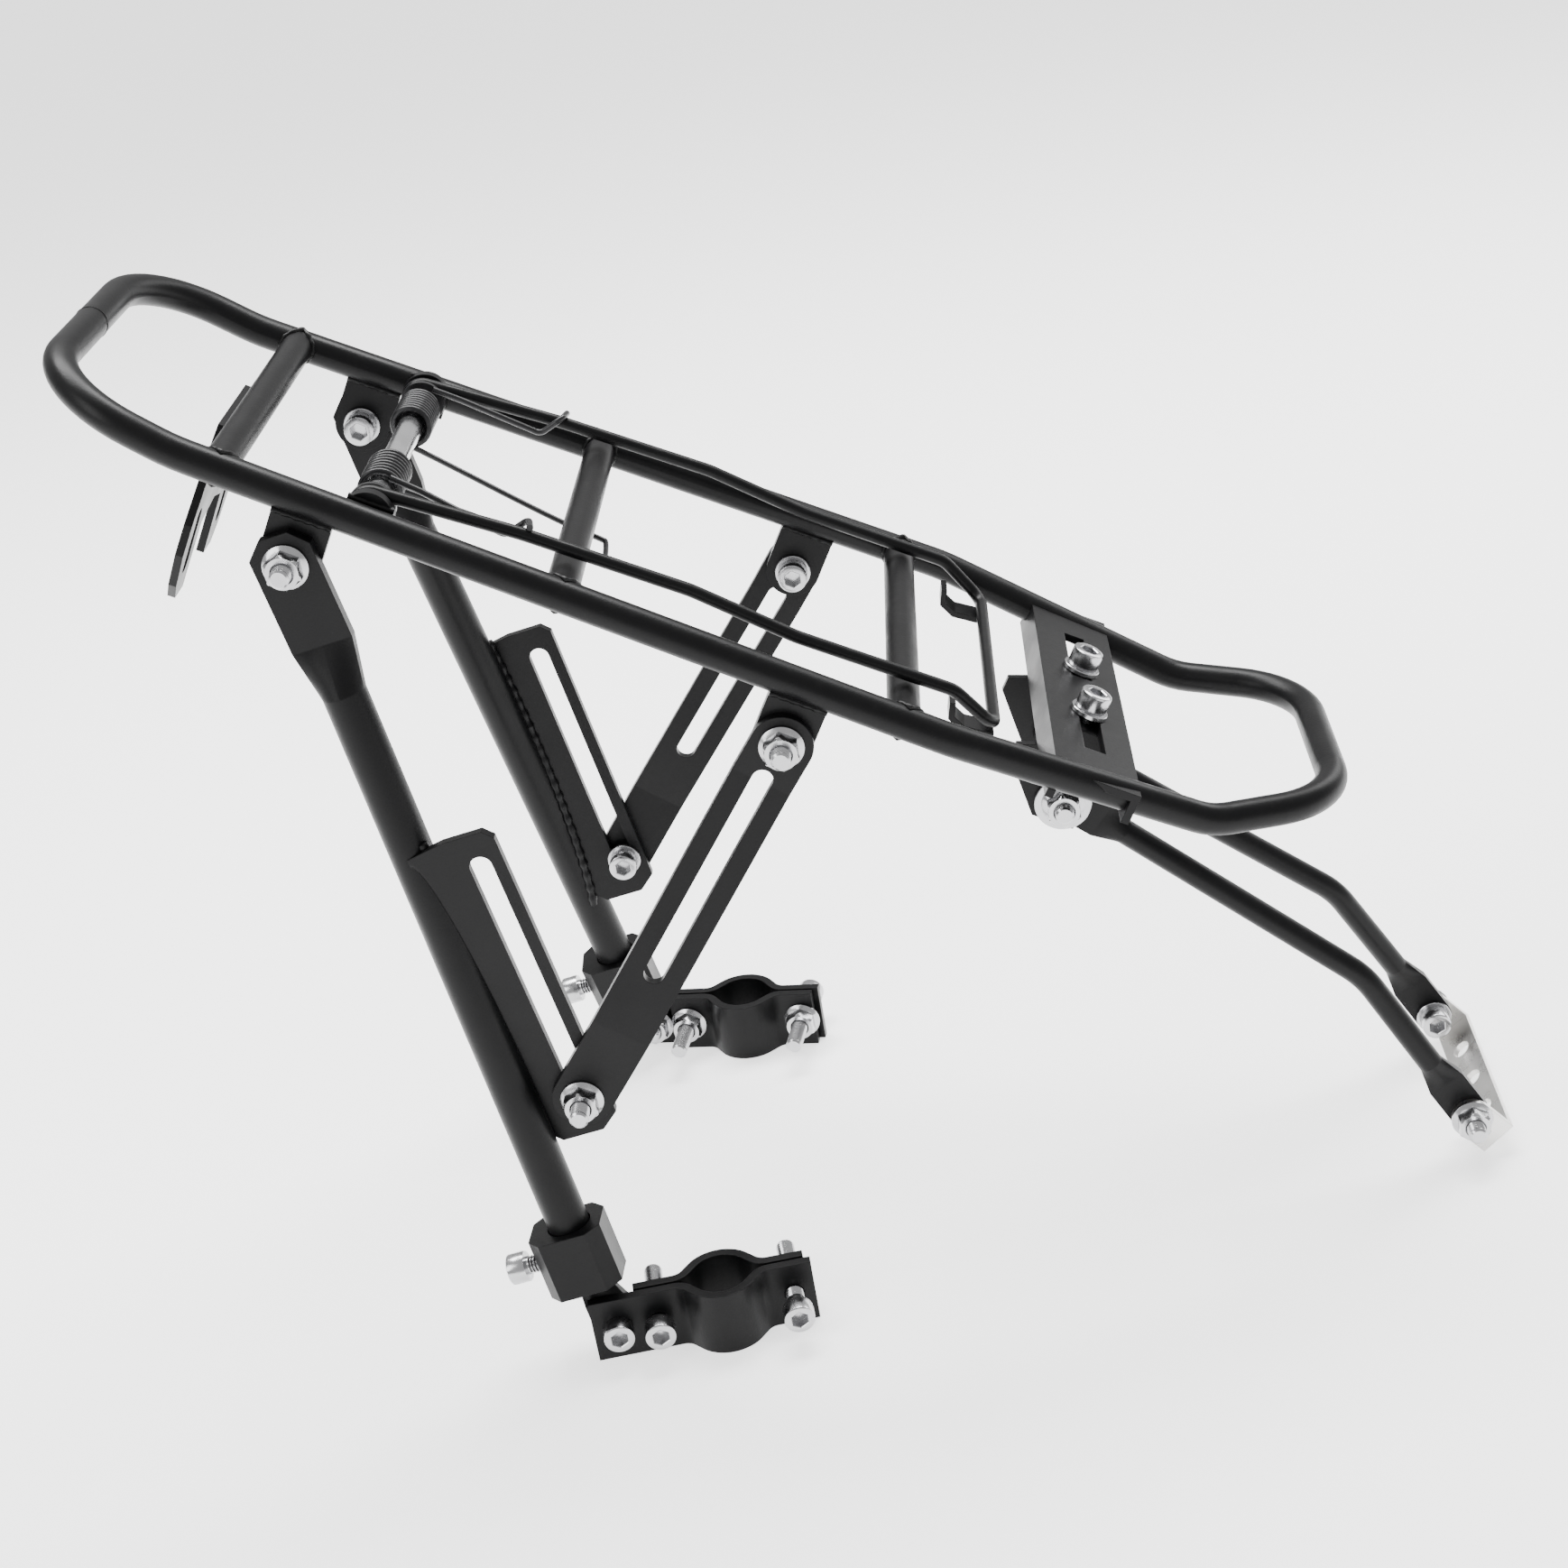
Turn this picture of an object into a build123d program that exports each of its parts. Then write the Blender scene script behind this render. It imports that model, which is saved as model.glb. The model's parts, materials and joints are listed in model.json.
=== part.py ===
"""Bicycle rear rack: a tubular deck with a spring clamp, on two adjustable legs and two front stays.

All sizes are in millimetres.  The rack is drawn level in its deck frame (+X to the front of the
bicycle, +Z up, rear leg bolts on the line X = 0, Z = 0) and then stood nose-down on its two foot
clamps and its front bracket.  Left is +Y.  Most pieces are drawn once, on the left, and mirrored.
"""
import os
from math import cos, radians, sin, tan

from build123d import *

# Deck: one closed loop of tube with three cross tubes
TUBE_R = 5.0
DECK_Z = 18.65
REAR_BAR = (-81.6, 24.3)
REAR_HALF_WIDTH = 57.5
KINK = (-40.7, 59.5)
TAPER = (198.8, 69.9)
NOSE = (284.5, 54.0, 15.1)
FRONT_BAR = (322.5, 40.9, 30.8)
LOOP_RADII = {"rear": 30, "kink": 70, "taper": 38, "nose": 25, "front": 28}
CROSS_X = {"rear": -27.0, "middle": 76.4, "front": 182.8}

# Standing attitude: how far the deck points nose-down
DECK_PITCH = 29.0

# Fasteners: M6 socket screws, washers and flange nuts
SCREW_R = 2.95
HOLE_R = 3.25
HEAD_R, HEAD_H, SOCKET_AF = 5.0, 6.0, 5.0
WASHER_R, WASHER_T = 6.0, 1.6
NUT_AF, NUT_H, FLANGE_R, FLANGE_T = 10.0, 6.0, 6.8, 1.3

# Leg bolts A (rear) and brace bolts B (middle), on lugs under the loop
LUG_T = 4.0
A_Y = 59.3
B_X, B_Y = 151.6, 65.5
PIVOT_GAP = 0.1

# Legs: flattened tops, splayed tubes, slotted plates and telescopic feet
LEG_R, LEG_BORE_R = 6.75, 5.3
LEG_DOWN = 50.4
LEG_FLAT = (19.0, 4.0)
FLAT_END, FLAT_START = 26.0, 42.0
SPLAY = 5.5
LEG_LENGTH = 246.0
BORE_DEPTH = 130.0
PLATE_T = 3.0
PLATE_Y = 76.0
PLATE_S = (92.0, 201.5)
PLATE_TOP = 27.5
SLOT_LINE = 20.1
SLOT_W = 7.0
SLOT_S = (103.0, 187.3)

# Braces
BRACE_W, BRACE_T = 19.0, 3.0
BRACE_SLOT = (12.2, 82.8)
BRACE_SLOT_W = 6.5
PADS = (13.0, 27.0)

# Collars with their clamp screws
COLLAR_S = (228.0, 249.0)
COLLAR_HALF = (11.0, 10.0)
COLLAR_BORE_R = 7.15
FOOT_TUBE_R = 5.0
FOOT_TUBE_TOP = 130.0

# Foot clamps: an outer and an inner strip with a rounded seat between them
TOE_IN = 8.5
FOOT_BOLT_S, FOOT_BOLT_T = 264.3, 3.5
FOOT_SET_OUT = 3.8
TAB_T = 4.0
STRIP_H, STRIP_T = 22.0, 3.0
STRIP_U = (-8.0, 64.0)
CLAMP_BOLTS_U = (13.1, 57.2)
INNER_U = (6.8, 62.0)
SEAT_U, SEAT_R = 35.0, 9.5
STRIP_GAP = 1.0
SEAT_SLOPE = 50.0

# Spring clamp on its axle
AXLE_X, AXLE_Z, AXLE_R = 17.0, 18.65, 3.0
EAR_Y, EAR_T, EAR_R = 53.8, 3.6, 7.5
BOW_R = 2.0
EYE_R = 5.3
BOW_Y = 50.5
COIL_R, SPRING_WIRE_R = 5.9, 1.0
COIL_LEFT, COIL_RIGHT = (22.0, 43.5), (-37.0, -15.0)
SLEEVE_R = 3.9

# Front channel, angle brackets, stays and front bracket
CHANNEL_X = (231.0, 258.0)
CHANNEL_TOP = 20.0
SHEET_T = 2.5
CHEEK_Y = 24.0
CHANNEL_BOLT = (245.0, 16.6)
CHANNEL_SLOT_Y = (10.0, 44.0)
STAY_PIVOT = (247.3, -7.3)
STAY_END = (416.4, -62.5)
STAY_BEND = (362.0, -29.5)
STAY_R, STAY_FLAT_T = 4.0, 3.5
STAY_Y = (20.3, 29.4)
FRONT_EAR_Y, FRONT_EAR_T = 33.0, 2.0
FRONT_TILT = 19.0
FRONT_WEB, FRONT_HALF_H = 12.5, 6.5

LEG_DIR = Vector(cos(radians(LEG_DOWN)), 0, -sin(radians(LEG_DOWN)))
LEG_NORMAL = Vector(sin(radians(LEG_DOWN)), 0, cos(radians(LEG_DOWN)))
SPLAY_RISE = tan(radians(SPLAY))
LEG_Y = A_Y + LUG_T + PIVOT_GAP + LEG_FLAT[1] / 2


def cylinder(base, direction, radius, length):
    """Round bar from base along direction."""
    plane = Plane(origin=base, z_dir=direction)
    return plane * Cylinder(radius, length, align=(Align.CENTER, Align.CENTER, Align.MIN))


def rod(points, radius, corner_radii, close=False):
    """Round wire or tube bent along points."""
    path = FilletPolyline(*points, radius=corner_radii, close=close)
    start = Plane(origin=path @ 0, z_dir=path % 0)
    return sweep(start * Circle(radius), path=path)


def side_plate(outline, y, thickness):
    """Plate parallel to the XZ plane, from y outwards; outline is in deck X, Z."""
    points = [(x, y, z) for x, z in outline]
    face = make_face(Polyline(*points, close=True))
    return extrude(face, amount=thickness, dir=(0, 1, 0))


def leg_point(s, t, y):
    """Point s down the leg from its pivot and t in front of it."""
    point = LEG_DIR * s + LEG_NORMAL * t
    return Vector(point.X, y, point.Z)


def leg_axis(s):
    """Centre of the splayed leg tube."""
    return leg_point(s, 0, LEG_Y + max(0, s - FLAT_END) * SPLAY_RISE)


TUBE_DIR = (leg_axis(LEG_LENGTH) - leg_axis(FLAT_START)).normalized()


def slot_cutter(start, end, width, y, thickness):
    """Long hole with round ends, from start to end (both deck X, Z centres)."""
    first = cylinder((start[0], y, start[1]), (0, 1, 0), width / 2, thickness)
    last = cylinder((end[0], y, end[1]), (0, 1, 0), width / 2, thickness)
    run = Vector(end[0] - start[0], 0, end[1] - start[1])
    half = run.normalized().cross(Vector(0, 1, 0)) * (width / 2)
    corners = [
        (start[0] + half.X, start[1] + half.Z),
        (end[0] + half.X, end[1] + half.Z),
        (end[0] - half.X, end[1] - half.Z),
        (start[0] - half.X, start[1] - half.Z),
    ]
    return first + last + side_plate(corners, y, thickness)


def screw(face, direction, grip):
    """Socket-head screw: the head sits on face and the shank runs along direction."""
    direction = Vector(direction).normalized()
    face = Vector(*face)
    head = cylinder(face, -direction, HEAD_R, HEAD_H)
    shank = cylinder(face, direction, SCREW_R, grip)
    mouth = Plane(origin=face - direction * (HEAD_H - 3.2), z_dir=-direction)
    socket = extrude(mouth * RegularPolygon(SOCKET_AF / 2, 6, major_radius=False), amount=4)
    return head + shank - socket


def washer(face, direction, outer=WASHER_R, thickness=WASHER_T):
    """Plain washer lying on face."""
    disc = cylinder(face, direction, outer, thickness)
    return disc - cylinder(face, direction, HOLE_R - 0.05, thickness)


def flange_nut(face, direction):
    """Flange nut with its flange on face."""
    plane = Plane(origin=face, z_dir=direction)
    body = extrude(plane * RegularPolygon(NUT_AF / 2, 6, major_radius=False), amount=NUT_H)
    flange = cylinder(face, direction, FLANGE_R, FLANGE_T)
    return body + flange - cylinder(face, direction, SCREW_R + 0.05, NUT_H)


def both(shape):
    """A left piece and its mirror image as one group of separate solids."""
    return Compound([*shape.solids(), *shape.mirror(Plane.XZ).solids()])


def loop_tube():
    rear, kink = LOOP_RADII["rear"], LOOP_RADII["kink"]
    left = [
        (REAR_BAR[0], REAR_HALF_WIDTH, REAR_BAR[1]),
        (KINK[0], KINK[1], DECK_Z),
        (TAPER[0], TAPER[1], DECK_Z),
        NOSE,
        FRONT_BAR,
    ]
    right = [(x, -y, z) for x, y, z in reversed(left)]
    radii = [rear, kink, LOOP_RADII["taper"], LOOP_RADII["nose"], LOOP_RADII["front"]]
    seam = (REAR_BAR[0], 0, REAR_BAR[1])
    halfway = (FRONT_BAR[0], 0, FRONT_BAR[2])
    front = rod([seam, *left, halfway], TUBE_R, radii)
    back = rod([halfway, *right, seam], TUBE_R, radii[::-1])
    return front + back


def rail_y(x):
    """Half width of the deck between tube centres, along the straight rails."""
    share = (x - KINK[0]) / (TAPER[0] - KINK[0])
    return KINK[1] + share * (TAPER[1] - KINK[1])


def cross_tube(x, loop):
    reach = rail_y(x) - 1
    return cylinder((x, -reach, DECK_Z), (0, 1, 0), TUBE_R, 2 * reach) - loop


def lug(x, y, width, loop):
    """Bolt lug welded under a rail: straight sides and a round lower end."""
    top = DECK_Z
    half = width / 2
    body = side_plate([(x - half, top), (x + half, top), (x + half, 0), (x - half, 0)], y, LUG_T)
    body += cylinder((x, y, 0), (0, 1, 0), half, LUG_T)
    body -= cylinder((x, y - 1, 0), (0, 1, 0), HOLE_R, LUG_T + 2)
    return body - loop


def axle_ear(loop):
    body = cylinder((AXLE_X, EAR_Y, AXLE_Z), (0, 1, 0), EAR_R, EAR_T)
    body += side_plate([(10, 13), (24, 13), (24, 21), (10, 21)], EAR_Y, EAR_T)
    hole = cylinder((AXLE_X, EAR_Y - 1, AXLE_Z), (0, 1, 0), AXLE_R + 0.1, EAR_T + 2)
    return body - hole - loop


def reflector_bracket(cross):
    """Forked plate behind the rear cross tube, for a reflector or lamp."""
    x = CROSS_X["rear"] - TUBE_R - 0.6
    thickness = 2.5
    half = [(0, 15), (19, 15), (24, 8), (32, -14), (33, -24), (29, -36), (24, -42), (14, -42)]
    half += [(13, -20), (0, -16)]
    outline = half + [(-y, z) for y, z in reversed(half[1:-1])]
    points = [(x, y, z) for y, z in outline]
    plate = extrude(make_face(Polyline(*points, close=True)), amount=thickness, dir=(-1, 0, 0))
    for side in (1, -1):
        for z in (-14, -31):
            plate -= cylinder((x + 1, side * 22.5, z), (-1, 0, 0), 2.6, thickness + 2)
        low = Plane(origin=(x + 1, side * 22.5, -22.5), x_dir=(0, 1, 0), z_dir=(-1, 0, 0))
        plate -= extrude(low * Rectangle(5.2, 17), amount=thickness + 2)
        plate -= cylinder((x + 1, side * 8, 2), (-1, 0, 0), 2.75, thickness + 2)
    pad = Pos(x + 0.4, 0, DECK_Z - 4) * Box(1.4, 36, 3)
    return (plate + pad) - cross


def front_channel(loop):
    """Folded sheet between the rails, with one cross slot for each screw."""
    low, high = CHANNEL_X
    top = Pos(low, 0, CHANNEL_TOP - SHEET_T) * Box(
        high - low, 132, SHEET_T, align=(Align.MIN, Align.CENTER, Align.MIN)
    )
    for x in (low, high - SHEET_T):
        top += Pos(x, 0, CHANNEL_TOP - 10) * Box(
            SHEET_T, 132, 10, align=(Align.MIN, Align.CENTER, Align.MIN)
        )
    inner, outer = CHANNEL_SLOT_Y
    for side in (1, -1):
        centre = side * (inner + outer) / 2
        top -= Pos(CHANNEL_BOLT[0], centre, CHANNEL_TOP) * Box(SLOT_W, outer - inner, 3 * SHEET_T)
    return (top - loop).solids().sort_by(SortBy.VOLUME)[-1]


def angle_bracket():
    """Left angle bracket: a flange under the channel and a cheek for the stay."""
    roof = CHANNEL_TOP - SHEET_T
    low, high = CHANNEL_X
    x_low, x_high = low + SHEET_T + 0.3, high - SHEET_T - 0.3
    flange = Pos(x_low, 8, roof - SHEET_T) * Box(
        x_high - x_low, CHEEK_Y - 7, SHEET_T, align=(Align.MIN,) * 3
    )
    cheek = [(x_low, roof), (x_high, roof), (x_high, 0), (254, -15), (240, -15), (226, 1)]
    cheek += [(226, 6), (x_low, 9)]
    body = flange + side_plate(cheek, CHEEK_Y, SHEET_T)
    body -= cylinder((CHANNEL_BOLT[0], CHANNEL_BOLT[1], 0), (0, 0, 1), HOLE_R, 30)
    return body - cylinder((STAY_PIVOT[0], 20, STAY_PIVOT[1]), (0, 1, 0), HOLE_R, 10)


def leg_tube():
    """Left leg: flattened and cropped at the top, round below, open at the foot."""
    width, thickness = LEG_FLAT
    half = width / 2
    inner = LEG_Y - thickness / 2
    crop = 5.0
    corners = [(-half, -half + crop), (-half + crop, -half), (FLAT_END, -half)]
    corners += [(FLAT_END, half), (-half + crop, half), (-half, half - crop)]
    outline = [(leg_point(s, t, 0).X, leg_point(s, t, 0).Z) for s, t in corners]
    flat = side_plate(outline, inner, thickness)
    pressed = Plane(origin=leg_point(FLAT_END, 0, LEG_Y), x_dir=(0, 1, 0), z_dir=LEG_DIR)
    round_end = Plane(origin=leg_axis(FLAT_START), x_dir=(0, 1, 0), z_dir=TUBE_DIR)
    neck = loft([pressed * Rectangle(thickness, width), round_end * Circle(LEG_R)])
    length = (leg_axis(LEG_LENGTH) - leg_axis(FLAT_START)).length
    tube = cylinder(leg_axis(FLAT_START), TUBE_DIR, LEG_R, length)
    bore = cylinder(leg_axis(LEG_LENGTH), -TUBE_DIR, LEG_BORE_R, BORE_DEPTH)
    hole = cylinder((0, inner - 1, 0), (0, 1, 0), HOLE_R - 0.1, thickness + 2)
    return flat + neck + tube - bore - hole


def leg_plate():
    """Left slotted plate welded along the front of the leg."""
    low, high = PLATE_S
    top = PLATE_TOP
    corners = [(low + 2, 0), (low, 12), (low, top - 3), (low + 3, top)]
    corners += [(high - 5, top), (high, top - 6), (high, 8), (high - 8, 0)]
    outline = [(leg_point(s, t, 0).X, leg_point(s, t, 0).Z) for s, t in corners]
    plate = side_plate(outline, PLATE_Y, PLATE_T)
    start = leg_point(SLOT_S[0], SLOT_LINE, 0)
    end = leg_point(SLOT_S[1], SLOT_LINE, 0)
    plate -= slot_cutter((start.X, start.Z), (end.X, end.Z), SLOT_W, PLATE_Y - 1, PLATE_T + 2)
    cut = plate - cylinder(leg_axis(FLAT_START), TUBE_DIR, LEG_R, LEG_LENGTH)
    return cut.solids().sort_by(SortBy.VOLUME)[-1]


def brace():
    """Left brace: a slotted bar, joggled outwards between its two end pads."""
    slot_end = leg_point(SLOT_S[1], SLOT_LINE, 0)
    top, bottom = (B_X, 0.0), (slot_end.X, slot_end.Z)
    run = Vector(bottom[0] - top[0], 0, bottom[1] - top[1])
    along = run.normalized()
    length = run.length
    half = BRACE_W / 2
    y_top = B_Y + LUG_T + PIVOT_GAP
    y_bottom = PLATE_Y + PLATE_T + PIVOT_GAP
    edge = Plane(origin=(top[0], 0, top[1]), x_dir=along, z_dir=along.cross(Vector(0, 1, 0)))
    ribbon = [
        (-half, y_top), (PADS[0], y_top), (length - PADS[1], y_bottom), (length + half, y_bottom),
        (length + half, y_bottom + BRACE_T), (length - PADS[1], y_bottom + BRACE_T),
        (PADS[0], y_top + BRACE_T), (-half, y_top + BRACE_T),
    ]
    bar = extrude(edge * make_face(Polyline(*ribbon, close=True)), amount=half, both=True)
    outline = slot_cutter(top, bottom, BRACE_W, y_top - 5, 40)
    bar = bar & outline
    for point in (top, bottom):
        bar -= cylinder((point[0], y_top - 5, point[1]), (0, 1, 0), HOLE_R - 0.1, 40)
    first, last = (Vector(*top) + Vector(along.X, along.Z) * s for s in BRACE_SLOT)
    return bar - slot_cutter((first.X, first.Y), (last.X, last.Y), BRACE_SLOT_W, y_top - 5, 40)


def collar():
    """Left collar: an eight-sided block with a wide bore for the leg tube."""
    start = leg_axis(COLLAR_S[0])
    length = (leg_axis(COLLAR_S[1]) - start).length
    plane = Plane(origin=start, x_dir=LEG_NORMAL, z_dir=TUBE_DIR)
    t, w = COLLAR_HALF
    cut = 4.5
    outline = [(-t - 2, -w + cut), (-t + 2, -w), (t - cut, -w), (t, -w + cut)]
    outline += [(t, w - cut), (t - cut, w), (-t + 2, w), (-t - 2, w - cut)]
    block = extrude(plane * make_face(Polyline(*outline, close=True)), amount=length)
    block -= cylinder(start - TUBE_DIR, TUBE_DIR, COLLAR_BORE_R, length + 2)
    screw_at = leg_axis(sum(COLLAR_S) / 2)
    return block - cylinder(screw_at, -LEG_NORMAL, SCREW_R + 0.05, 20)


def set_screw():
    """Left set screw, from behind the collar onto the leg tube."""
    seat = leg_axis(sum(COLLAR_S) / 2) - LEG_NORMAL * (COLLAR_HALF[0] + 7)
    return screw((seat.X, seat.Y, seat.Z), LEG_NORMAL, 11.0)


def foot_frame():
    """Foot clamp frame of the left foot: X along the strips, Y outwards, Z up when standing."""
    pivot = leg_point(FOOT_BOLT_S, FOOT_BOLT_T, leg_axis(FOOT_BOLT_S).Y + FOOT_SET_OUT)
    floor_x = Vector(cos(radians(DECK_PITCH)), 0, sin(radians(DECK_PITCH)))
    floor_z = Vector(-sin(radians(DECK_PITCH)), 0, cos(radians(DECK_PITCH)))
    forward = floor_x * cos(radians(TOE_IN)) - Vector(0, 1, 0) * sin(radians(TOE_IN))
    return Plane(origin=pivot, x_dir=forward, z_dir=floor_z)


def foot_tube(foot):
    """Left foot tube: slides in the leg and ends in a flat tab inside the outer strip."""
    top, neck = leg_axis(FOOT_TUBE_TOP), leg_axis(COLLAR_S[1] + 0.5)
    tube = cylinder(top, TUBE_DIR, FOOT_TUBE_R, (neck - top).length)
    face = -PIVOT_GAP
    outline = [(-9, 8), (5, 8), (6, 1), (5, -5), (1, -7), (-4, -6.5), (-7.5, -2)]
    tab = extrude(make_face(Polyline(*[(x, face, z) for x, z in outline], close=True)),
                  amount=TAB_T, dir=(0, -1, 0))
    neck_face = Plane(origin=neck, x_dir=LEG_NORMAL, z_dir=TUBE_DIR) * Circle(FOOT_TUBE_R)
    flat = Plane(origin=(-2, face - TAB_T / 2, 8), x_dir=(1, 0, 0), z_dir=(0, 0, -1)) * Rectangle(14, TAB_T)
    shank = loft([neck_face, foot * flat])
    hole = Pos(0, face - 20, 0) * Rot(-90, 0, 0) * Cylinder(HOLE_R - 0.1, 40)
    return tube + shank + foot * (tab - hole)


def strip(ends, face_y, out, foot, holes):
    """Foot clamp strip with its rounded seat; out is +1 for the outer strip, -1 for the inner."""
    slope = radians(SEAT_SLOPE)
    mid = SEAT_R + STRIP_T / 2
    middle = face_y - out * STRIP_GAP / 2
    line = face_y + out * STRIP_T / 2
    rise = mid / cos(slope)
    half = (rise - abs(line - middle)) / tan(slope)
    points = [
        (ends[0], line, 0), (SEAT_U - half, line, 0), (SEAT_U, middle + out * rise, 0),
        (SEAT_U + half, line, 0), (ends[1], line, 0),
    ]
    path = FilletPolyline(*points, radius=[6, mid, 6])
    start = Plane(origin=path @ 0, x_dir=(0, 0, 1), z_dir=path % 0)
    body = sweep(start * Rectangle(STRIP_H, STRIP_T), path=path)
    for u in holes:
        body -= Pos(u, line, 0) * Rot(90, 0, 0) * Cylinder(HOLE_R, 3 * STRIP_T)
    return foot * body


def foot_screws(foot):
    """The pivot screw and the two longer clamp screws of the left foot."""
    face = STRIP_T
    pieces = []
    for u, stand_off, grip in ((0, 0, 16), (CLAMP_BOLTS_U[0], 3, 30), (CLAMP_BOLTS_U[1], 8, 34)):
        pieces.append(screw((u, face + stand_off, 0), (0, -1, 0), grip))
    return foot * Compound(pieces)


def foot_nuts(foot):
    tab_face = -2 * PIVOT_GAP - TAB_T
    inner_face = -STRIP_GAP - STRIP_T
    pieces = [flange_nut((0, tab_face, 0), (0, -1, 0))]
    pieces += [flange_nut((u, inner_face, 0), (0, -1, 0)) for u in CLAMP_BOLTS_U]
    return foot * Compound(pieces)


def clamp_bow():
    """Spring clamp: heavy wire with an eye round the axle on each side and a straight front bar."""
    side = [
        (AXLE_X, BOW_Y, AXLE_Z + EYE_R), (60, BOW_Y + 0.5, 27.2), (112, 52, 28.6), (146, 52, 25.9),
        (196, 52, 26.6), (212, 50, 19.0),
    ]
    right = [(x, -y, z) for x, y, z in reversed(side)]
    radii = [60, 40, 40, 9, 6]
    bow = rod([*side, *right], BOW_R, radii + radii[::-1])
    for y in (BOW_Y, -BOW_Y):
        ring = Plane(origin=(AXLE_X, y, AXLE_Z), z_dir=(0, 1, 0)) * Torus(EYE_R, BOW_R)
        bow += ring
    return bow


def clamp_lip():
    """Left grip lip: a curled tongue of sheet under the front corner of the bow."""
    outline = [
        (213, 16.4), (204, 15.4), (200, 17.2), (198.6, 21.5), (196.8, 21.0), (198.4, 15.8),
        (203.6, 13.4), (213.4, 14.4),
    ]
    return side_plate(outline, 40.0, 9.0)


def spring_arm(coil_end):
    """Left outer leg of the double torsion spring, hooked over the bow."""
    wire = SPRING_WIRE_R
    hook_z = 27.0 + BOW_R + wire + 0.3
    points = [
        (AXLE_X + 2.0, coil_end + wire + 0.6, AXLE_Z + COIL_R + 0.4),
        (AXLE_X + 12, coil_end + wire + 1.5, 24.5),
        (56, BOW_Y - 4.6, 23.0), (61, BOW_Y - 4.4, hook_z), (62, BOW_Y + 1.8, hook_z),
    ]
    return rod(points, wire, [6, 3, 2.5])


def torsion_spring():
    """Both coils round the sleeve, and the bent middle leg under the middle cross tube."""
    pieces = []
    for low, high in (COIL_LEFT, COIL_RIGHT):
        base, length = (AXLE_X, low, AXLE_Z), high - low
        outer = cylinder(base, (0, 1, 0), COIL_R + SPRING_WIRE_R, length)
        pieces.append(outer - cylinder(base, (0, 1, 0), COIL_R - SPRING_WIRE_R, length))
    under = DECK_Z - TUBE_R - SPRING_WIRE_R - 1.0
    foot_x = CROSS_X["middle"] + 9
    bottom = AXLE_Z - COIL_R
    points = [
        (AXLE_X, COIL_LEFT[0] - 1.2, bottom), (AXLE_X + 10, COIL_LEFT[0] - 2, bottom - 0.5),
        (foot_x, 5, under), (foot_x + 2, -12, under), (AXLE_X + 10, COIL_RIGHT[1] + 2, bottom - 0.5),
        (AXLE_X, COIL_RIGHT[1] + 1.2, bottom),
    ]
    pieces.append(rod(points, SPRING_WIRE_R, [8, 4, 4, 8]))
    return Compound([solid for piece in pieces for solid in piece.solids()])


def stay():
    """Left front stay: a round rod flattened at both ends and bent down near the front."""
    pivot, end, bend = (Vector(p[0], 0, p[1]) for p in (STAY_PIVOT, STAY_END, STAY_BEND))
    first, last = (bend - pivot).normalized(), (end - bend).normalized()
    y_pivot, y_end = (y + STAY_FLAT_T / 2 for y in STAY_Y)
    flat_w = 12.5

    def eye(centre, along, y):
        face_y = y - STAY_FLAT_T / 2
        tip = centre + along * 15
        body = slot_cutter((centre.X, centre.Z), (tip.X, tip.Z), flat_w, face_y, STAY_FLAT_T)
        keep = Plane(origin=(tip.X, y, tip.Z), z_dir=along) * Box(
            60, 60, 60, align=(Align.CENTER, Align.CENTER, Align.MIN)
        )
        hole = cylinder((centre.X, face_y - 1, centre.Z), (0, 1, 0), HOLE_R - 0.1, STAY_FLAT_T + 2)
        return body - keep - hole

    start = pivot + first * 24
    finish = end - last * 24
    start_point = Vector(start.X, y_pivot, start.Z)
    finish_point = Vector(finish.X, y_end, finish.Z)
    share = (bend - start).length / ((bend - start).length + (finish - bend).length)
    bend_point = Vector(bend.X, y_pivot + share * (y_end - y_pivot), bend.Z)
    bar = rod([start_point, bend_point, finish_point], STAY_R, [32])
    body = eye(pivot, first, y_pivot) + bar + eye(end, -last, y_end)
    necks = (
        (pivot + first * 15, first, y_pivot, start_point, (bend_point - start_point).normalized()),
        (end - last * 15, -last, y_end, finish_point, (bend_point - finish_point).normalized()),
    )
    for flat_at, along, y, round_at, direction in necks:
        flat = Plane(origin=(flat_at.X, y, flat_at.Z), x_dir=(0, 1, 0), z_dir=along)
        circle = Plane(origin=round_at, x_dir=(0, 1, 0), z_dir=direction)
        body += loft([flat * Rectangle(STAY_FLAT_T, flat_w), circle * Circle(STAY_R)])
    return body


def front_bracket():
    """Bright sheet bracket that joins the stays: a web with three holes between two ears."""
    plane = Plane(
        origin=(STAY_END[0], 0, STAY_END[1]),
        x_dir=(cos(radians(FRONT_TILT)), 0, -sin(radians(FRONT_TILT))),
        z_dir=(sin(radians(FRONT_TILT)), 0, cos(radians(FRONT_TILT))),
    )
    outer = FRONT_EAR_Y + FRONT_EAR_T
    height = 2 * FRONT_HALF_H
    centred = (Align.MIN, Align.CENTER, Align.CENTER)
    body = Pos(FRONT_WEB - FRONT_EAR_T, 0, 0) * Box(FRONT_EAR_T, 2 * outer, height, align=centred)
    for side in (1, -1):
        at_ear = Pos(0, side * (outer - FRONT_EAR_T / 2), 0)
        body += at_ear * Box(FRONT_WEB, FRONT_EAR_T, height, align=centred)
        body += at_ear * Rot(90, 0, 0) * Cylinder(FRONT_HALF_H, FRONT_EAR_T)
        body -= Pos(0, side * outer, 0) * Rot(90, 0, 0) * Cylinder(HOLE_R, 3 * FRONT_EAR_T)
    for y in (-18, 0, 18):
        body -= Pos(FRONT_WEB, y, 0) * Rot(0, 90, 0) * Cylinder(HOLE_R, 3 * FRONT_EAR_T)
    return plane * body


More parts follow.
